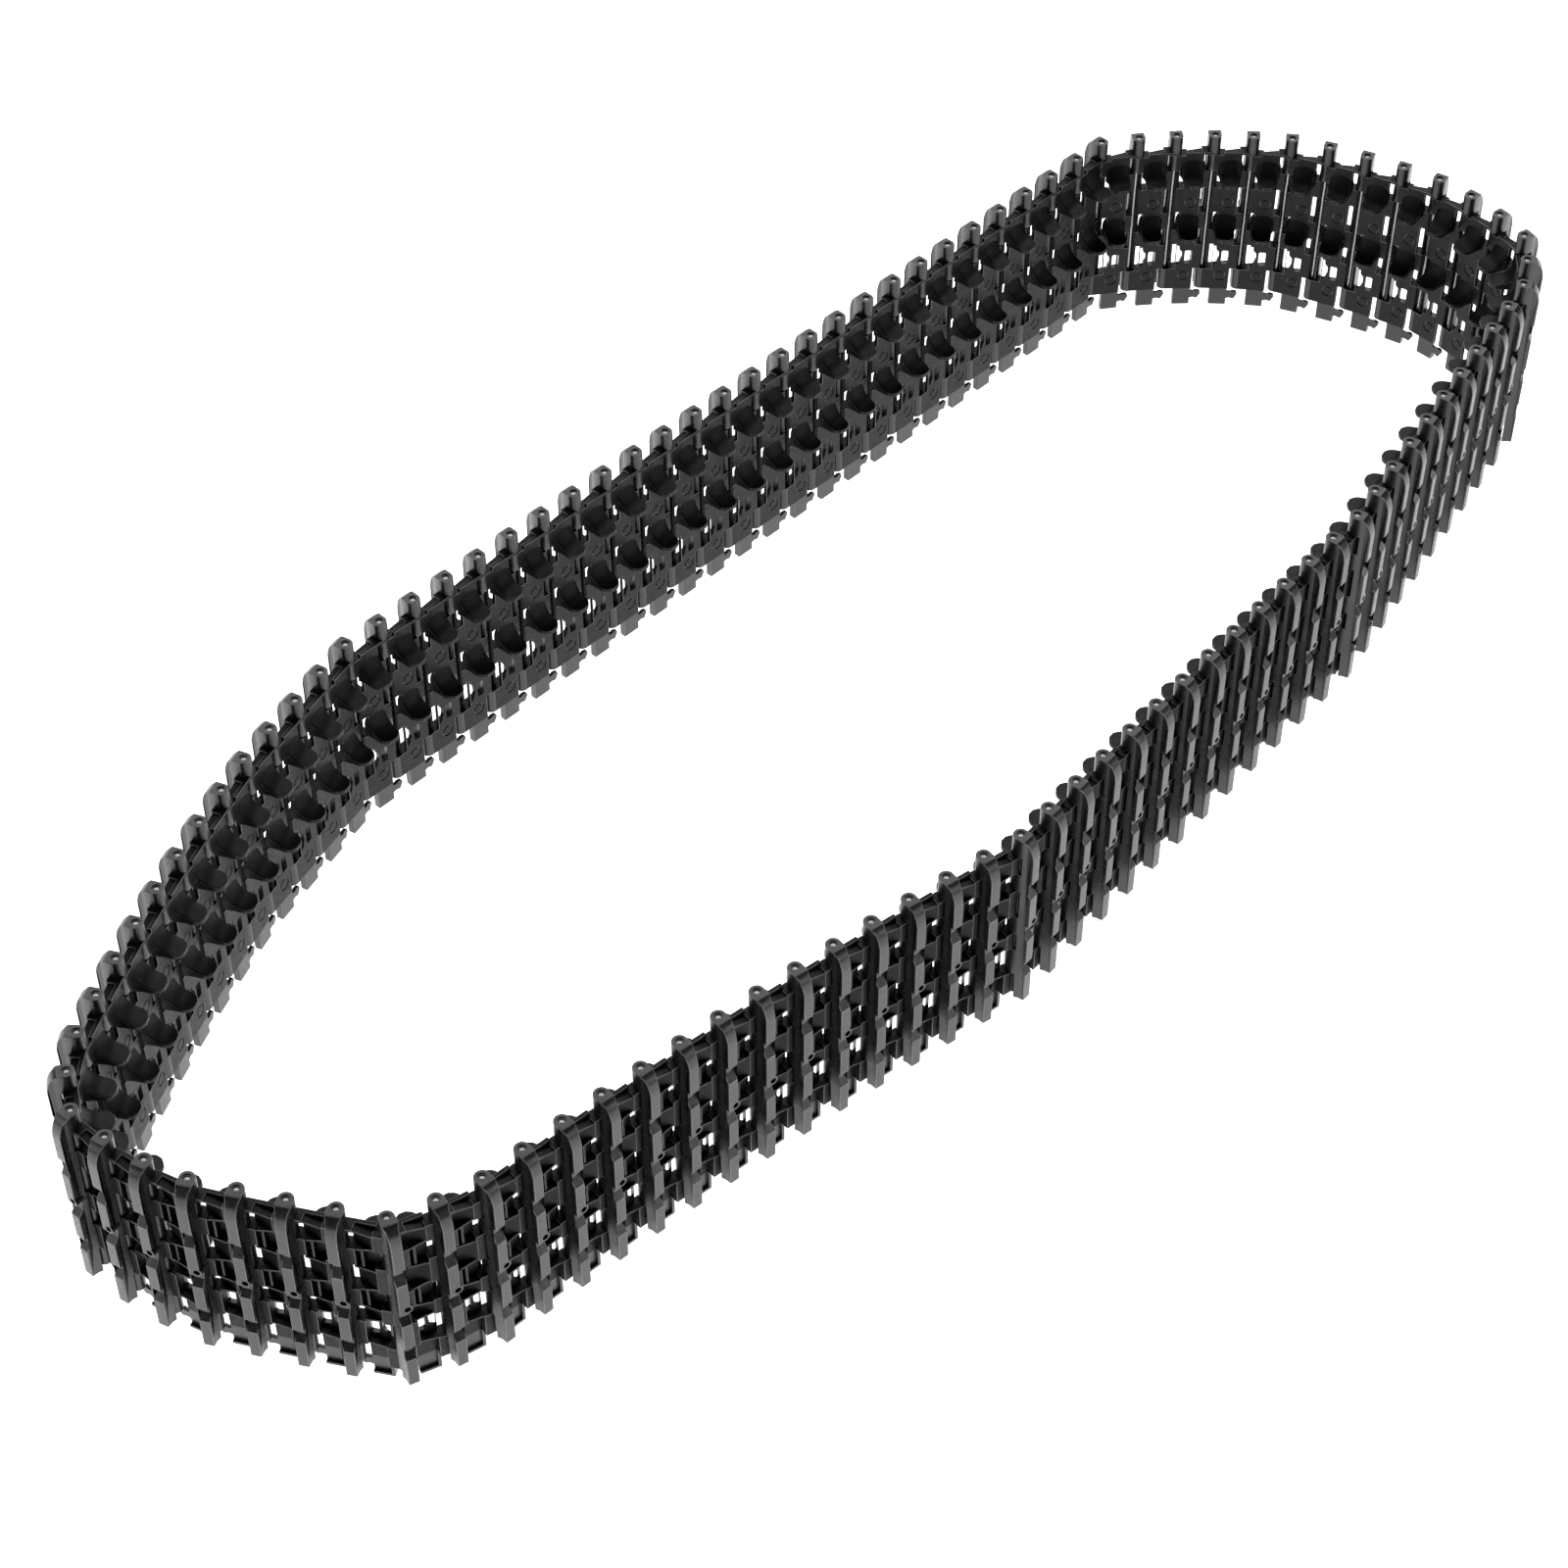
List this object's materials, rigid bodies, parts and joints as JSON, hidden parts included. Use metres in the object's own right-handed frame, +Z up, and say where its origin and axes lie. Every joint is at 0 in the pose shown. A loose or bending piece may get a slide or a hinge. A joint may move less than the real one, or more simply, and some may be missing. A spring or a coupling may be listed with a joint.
{
  "type": "model tank track loop",
  "caption": "Closed loop of moulded track links with guide horns and grouser bars, joined by hinge pins, standing on its edge.",
  "frame": {"origin": "centre of the loop's outline, on the surface it stands on", "axes": "+X along the loop's long runs, +Y across the loop, +Z up along the hinge pins towards the pin heads"},
  "size_m": [0.3574, 0.1274, 0.0438],
  "materials": {
    "links": "satin black moulded plastic",
    "pins": "drawn wire"
  },
  "bodies": {
    "section_01": {"links_01": "links", "pins_01": "pins"},
    "section_02": {"links_02": "links", "pins_02": "pins"},
    "section_03": {"links_03": "links", "pins_03": "pins"},
    "section_04": {"links_04": "links", "pins_04": "pins"},
    "section_05": {"links_05": "links", "pins_05": "pins"},
    "section_06": {"links_06": "links", "pins_06": "pins"},
    "section_07": {"links_07": "links", "pins_07": "pins"},
    "section_08": {"links_08": "links", "pins_08": "pins"},
    "section_09": {"links_09": "links", "pins_09": "pins"},
    "section_10": {"links_10": "links", "pins_10": "pins"},
    "section_11": {"links_11": "links", "pins_11": "pins"},
    "section_12": {"links_12": "links", "pins_12": "pins"},
    "section_13": {"links_13": "links", "pins_13": "pins"},
    "section_14": {"links_14": "links", "pins_14": "pins"},
    "section_15": {"links_15": "links", "pins_15": "pins"},
    "section_16": {"links_16": "links", "pins_16": "pins"},
    "section_17": {"links_17": "links", "pins_17": "pins"},
    "section_18": {"links_18": "links", "pins_18": "pins"},
    "section_19": {"links_19": "links", "pins_19": "pins"},
    "section_20": {"links_20": "links", "pins_20": "pins"},
    "section_21": {"links_21": "links", "pins_21": "pins"},
    "section_22": {"links_22": "links", "pins_22": "pins"},
    "section_23": {"links_23": "links", "pins_23": "pins"},
    "section_24": {"links_24": "links", "pins_24": "pins"},
    "section_25": {"links_25": "links", "pins_25": "pins"},
    "section_26": {"links_26": "links", "pins_26": "pins"},
    "section_27": {"links_27": "links", "pins_27": "pins"},
    "section_28": {"links_28": "links", "pins_28": "pins"},
    "section_29": {"links_29": "links", "pins_29": "pins"},
    "section_30": {"links_30": "links", "pins_30": "pins"}
  },
  "joints": [
    {"name": "pivot_24", "type": "hinge", "parent": "section_23", "child": "section_24", "pos_m": [-0.03624, -0.05843, 0.022], "axis": [0, 0, 1], "range_deg": [-2.62, 0]},
    {"name": "pivot_25", "type": "hinge", "parent": "section_24", "child": "section_25", "pos_m": [-0.06823, -0.0527, 0.022], "axis": [0, 0, 1], "range_deg": [-7.44, 0]},
    {"name": "pivot_26", "type": "hinge", "parent": "section_25", "child": "section_26", "pos_m": [-0.10041, -0.0481, 0.022], "axis": [0, 0, 1], "range_deg": [-5.32, 0]},
    {"name": "pivot_27", "type": "hinge", "parent": "section_26", "child": "section_27", "pos_m": [-0.13272, -0.04464, 0.022], "axis": [0, 0, 1], "range_deg": [0, 0.21]},
    {"name": "pivot_28", "type": "hinge", "parent": "section_27", "child": "section_28", "pos_m": [-0.15613, -0.03861, 0.022], "axis": [0, 0, 1], "range_deg": [0, 12.72]},
    {"name": "pivot_29", "type": "hinge", "parent": "section_28", "child": "section_29", "pos_m": [-0.16409, -0.02445, 0.022], "axis": [0, 0, 1], "range_deg": [-1.63, 0]},
    {"name": "pivot_30", "type": "hinge", "parent": "section_29", "child": "section_30", "pos_m": [-0.1716, -0.01004, 0.022], "axis": [0, 0, 1], "range_deg": [0, 2.93]},
    {"name": "pivot_01", "type": "hinge", "parent": "section_30", "child": "section_01", "pos_m": [-0.17506, 0.01397, 0.022], "axis": [0, 0, 1], "range_deg": [0, 14.28]},
    {"name": "pivot_02", "type": "hinge", "parent": "section_01", "child": "section_02", "pos_m": [-0.16401, 0.02567, 0.022], "axis": [0, 0, 1], "range_deg": [0, 7.76]},
    {"name": "pivot_03", "type": "hinge", "parent": "section_02", "child": "section_03", "pos_m": [-0.14955, 0.03308, 0.022], "axis": [0, 0, 1], "range_deg": [-4.59, 0]},
    {"name": "pivot_04", "type": "hinge", "parent": "section_03", "child": "section_04", "pos_m": [-0.11983, 0.04623, 0.022], "axis": [0, 0, 1], "range_deg": [-3.33, 0]},
    {"name": "pivot_05", "type": "hinge", "parent": "section_04", "child": "section_05", "pos_m": [-0.08889, 0.05603, 0.022], "axis": [0, 0, 1], "range_deg": [0, 6.09]},
    {"name": "pivot_06", "type": "hinge", "parent": "section_05", "child": "section_06", "pos_m": [-0.05688, 0.05949, 0.022], "axis": [0, 0, 1], "range_deg": [-7.23, 0]},
    {"name": "pivot_07", "type": "hinge", "parent": "section_06", "child": "section_07", "pos_m": [-0.0244, 0.05855, 0.022], "axis": [0, 0, 1], "range_deg": [-7.62, 0]},
    {"name": "pivot_08", "type": "hinge", "parent": "section_07", "child": "section_08", "pos_m": [0.00809, 0.05761, 0.022], "axis": [0, 0, 1], "range_deg": [-4.87, 0]},
    {"name": "pivot_23", "type": "hinge", "parent": "section_23", "child": "section_22", "pos_m": [-0.00394, -0.05864, 0.022], "axis": [0, 0, 1], "range_deg": [0, 5.55]},
    {"name": "pivot_22", "type": "hinge", "parent": "section_22", "child": "section_21", "pos_m": [0.02851, -0.05698, 0.022], "axis": [0, 0, 1], "range_deg": [0, 4.95]},
    {"name": "pivot_21", "type": "hinge", "parent": "section_21", "child": "section_20", "pos_m": [0.06098, -0.05554, 0.022], "axis": [0, 0, 1], "range_deg": [0, 3.14]},
    {"name": "pivot_20", "type": "hinge", "parent": "section_20", "child": "section_19", "pos_m": [0.09316, -0.05175, 0.022], "axis": [0, 0, 1], "range_deg": [0, 2.89]},
    {"name": "pivot_19", "type": "hinge", "parent": "section_19", "child": "section_18", "pos_m": [0.12504, -0.04542, 0.022], "axis": [0, 0, 1], "range_deg": [0, 3.02]},
    {"name": "pivot_18", "type": "hinge", "parent": "section_18", "child": "section_17", "pos_m": [0.15691, -0.03909, 0.022], "axis": [0, 0, 1], "range_deg": [0, 1.3]},
    {"name": "pivot_17", "type": "hinge", "parent": "section_17", "child": "section_16", "pos_m": [0.17049, -0.03026, 0.022], "axis": [0, 0, 1], "range_deg": [-10.87, 0]},
    {"name": "pivot_16", "type": "hinge", "parent": "section_16", "child": "section_15", "pos_m": [0.17496, -0.00644, 0.022], "axis": [0, 0, 1], "range_deg": [-11.09, 0]},
    {"name": "pivot_15", "type": "hinge", "parent": "section_15", "child": "section_14", "pos_m": [0.17143, 0.00941, 0.022], "axis": [0, 0, 1], "range_deg": [0, 0.09]},
    {"name": "pivot_14", "type": "hinge", "parent": "section_14", "child": "section_13", "pos_m": [0.16601, 0.02472, 0.022], "axis": [0, 0, 1], "range_deg": [-9.93, 0]},
    {"name": "pivot_13", "type": "hinge", "parent": "section_13", "child": "section_12", "pos_m": [0.15054, 0.0435, 0.022], "axis": [0, 0, 1], "range_deg": [0, 3.17]},
    {"name": "pivot_12", "type": "hinge", "parent": "section_12", "child": "section_11", "pos_m": [0.13803, 0.05386, 0.022], "axis": [0, 0, 1], "range_deg": [-9.58, 0]},
    {"name": "pivot_11", "type": "hinge", "parent": "section_11", "child": "section_10", "pos_m": [0.10555, 0.05479, 0.022], "axis": [0, 0, 1], "range_deg": [0, 7.66]},
    {"name": "pivot_10", "type": "hinge", "parent": "section_10", "child": "section_09", "pos_m": [0.07306, 0.05573, 0.022], "axis": [0, 0, 1], "range_deg": [0, 4.67]}
  ],
  "couplings": [
    {"joint": "pivot_24", "follows": "pivot_01", "ratio": -0.18318},
    {"joint": "pivot_25", "follows": "pivot_01", "ratio": -0.52084},
    {"joint": "pivot_26", "follows": "pivot_01", "ratio": -0.37251},
    {"joint": "pivot_27", "follows": "pivot_01", "ratio": 0.014591},
    {"joint": "pivot_28", "follows": "pivot_01", "ratio": 0.89043},
    {"joint": "pivot_29", "follows": "pivot_01", "ratio": -0.11369},
    {"joint": "pivot_30", "follows": "pivot_01", "ratio": 0.20473},
    {"joint": "pivot_02", "follows": "pivot_01", "ratio": 0.54275},
    {"joint": "pivot_03", "follows": "pivot_01", "ratio": -0.32109},
    {"joint": "pivot_04", "follows": "pivot_01", "ratio": -0.2326},
    {"joint": "pivot_05", "follows": "pivot_01", "ratio": 0.42585},
    {"joint": "pivot_06", "follows": "pivot_01", "ratio": -0.50605},
    {"joint": "pivot_07", "follows": "pivot_01", "ratio": -0.53305},
    {"joint": "pivot_08", "follows": "pivot_01", "ratio": -0.34071},
    {"joint": "pivot_23", "follows": "pivot_01", "ratio": 0.38818},
    {"joint": "pivot_22", "follows": "pivot_01", "ratio": 0.34647},
    {"joint": "pivot_21", "follows": "pivot_01", "ratio": 0.21965},
    {"joint": "pivot_20", "follows": "pivot_01", "ratio": 0.20202},
    {"joint": "pivot_19", "follows": "pivot_01", "ratio": 0.21138},
    {"joint": "pivot_18", "follows": "pivot_01", "ratio": 0.09047},
    {"joint": "pivot_17", "follows": "pivot_01", "ratio": -0.76051},
    {"joint": "pivot_16", "follows": "pivot_01", "ratio": -0.77637},
    {"joint": "pivot_15", "follows": "pivot_01", "ratio": 0.005609},
    {"joint": "pivot_14", "follows": "pivot_01", "ratio": -0.6948},
    {"joint": "pivot_13", "follows": "pivot_01", "ratio": 0.22198},
    {"joint": "pivot_12", "follows": "pivot_01", "ratio": -0.67047},
    {"joint": "pivot_11", "follows": "pivot_01", "ratio": 0.536},
    {"joint": "pivot_10", "follows": "pivot_01", "ratio": 0.32686}
  ]
}
